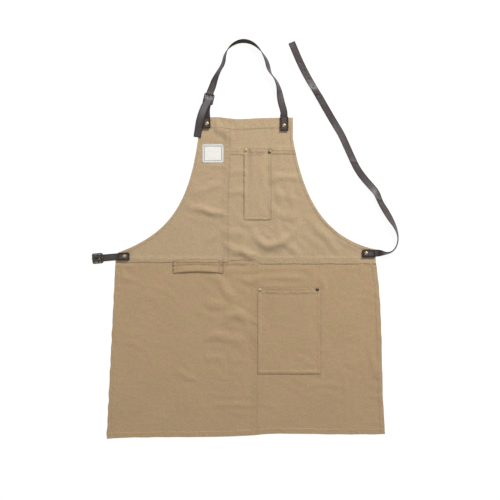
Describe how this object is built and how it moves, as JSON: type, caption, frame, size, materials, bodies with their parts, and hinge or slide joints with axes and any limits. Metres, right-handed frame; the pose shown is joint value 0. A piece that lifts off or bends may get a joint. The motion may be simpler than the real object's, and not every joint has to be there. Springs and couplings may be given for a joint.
{
  "type": "canvas work apron",
  "caption": "Cross-seamed tan canvas work apron with bib, pockets and towel loop, and dark leather neck and waist straps with brass buckles, laid flat.",
  "frame": {"origin": "on the back of the cloth, near the centre of the outline without the free waist strap, on the surface the apron lies on", "axes": "+X to the right of a viewer facing the front, +Y from the hem up to the bib and neck strap, +Z out of the front"},
  "size_m": [0.8296, 1.0792, 0.0192],
  "materials": {
    "canvas": "tan cotton canvas, matt",
    "leather": "dark brown leather, satin",
    "brass": "antique brass",
    "patch": "off-white woven label, plain"
  },
  "bodies": {
    "skirt": {"skirt_left_panel": "canvas", "skirt_right_panel": "canvas", "hip_pocket": "canvas", "towel_loop": "canvas", "hip_pocket_rivets": "brass", "hip_pocket_rivet_backs": "brass"},
    "bib": {"bib_left_panel": "canvas", "bib_yoke": "canvas", "bib_right_panel": "canvas", "chest_pocket": "canvas", "plain_patch": "patch", "neck_tab_left": "leather", "neck_tab_right": "leather", "waist_tab_left": "leather", "waist_tab_right": "leather", "strap_rivets": "brass", "strap_rivet_backs": "brass", "chest_pocket_rivets": "brass", "chest_pocket_rivet_backs": "brass", "neck_buckle_frame": "brass", "neck_buckle_strap": "leather", "neck_strap": "leather"},
    "neck_prong": {"neck_buckle_prong": "brass"},
    "waist_buckle_side": {"waist_buckle_strap": "leather"},
    "waist_frame": {"waist_buckle_frame": "brass"},
    "waist_prong": {"waist_buckle_prong": "brass"},
    "waist_strap_side": {"waist_strap": "leather"}
  },
  "joints": [
    {"name": "bib_fold", "type": "hinge", "parent": "skirt", "child": "bib", "pos_m": [0, -0.058, 0.01], "axis": [1, 0, 0], "range_deg": [0, 180]},
    {"name": "neck_prong_lift", "type": "hinge", "parent": "bib", "child": "neck_prong", "pos_m": [-0.0815, 0.3767, 0.0047], "axis": [0.9744, -0.225, 0], "range_deg": [0, 15]},
    {"name": "waist_buckle_strap_swivel", "type": "hinge", "parent": "bib", "child": "waist_buckle_side", "pos_m": [-0.3077, -0.0459, 0.0035], "axis": [0, 0, 1], "range_deg": [-12, 12]},
    {"name": "waist_buckle_tilt", "type": "hinge", "parent": "waist_buckle_side", "child": "waist_frame", "pos_m": [-0.3789, -0.0518, 0.0034], "axis": [0.0819, -0.9966, 0], "range_deg": [0, 75]},
    {"name": "waist_prong_lift", "type": "hinge", "parent": "waist_frame", "child": "waist_prong", "pos_m": [-0.3789, -0.0518, 0.0034], "axis": [-0.0819, 0.9966, 0], "range_deg": [0, 150]},
    {"name": "waist_strap_swivel", "type": "hinge", "parent": "bib", "child": "waist_strap_side", "pos_m": [0.3447, -0.0379, 0.003], "axis": [0, 0, 1], "range_deg": [-8, 3]}
  ]
}
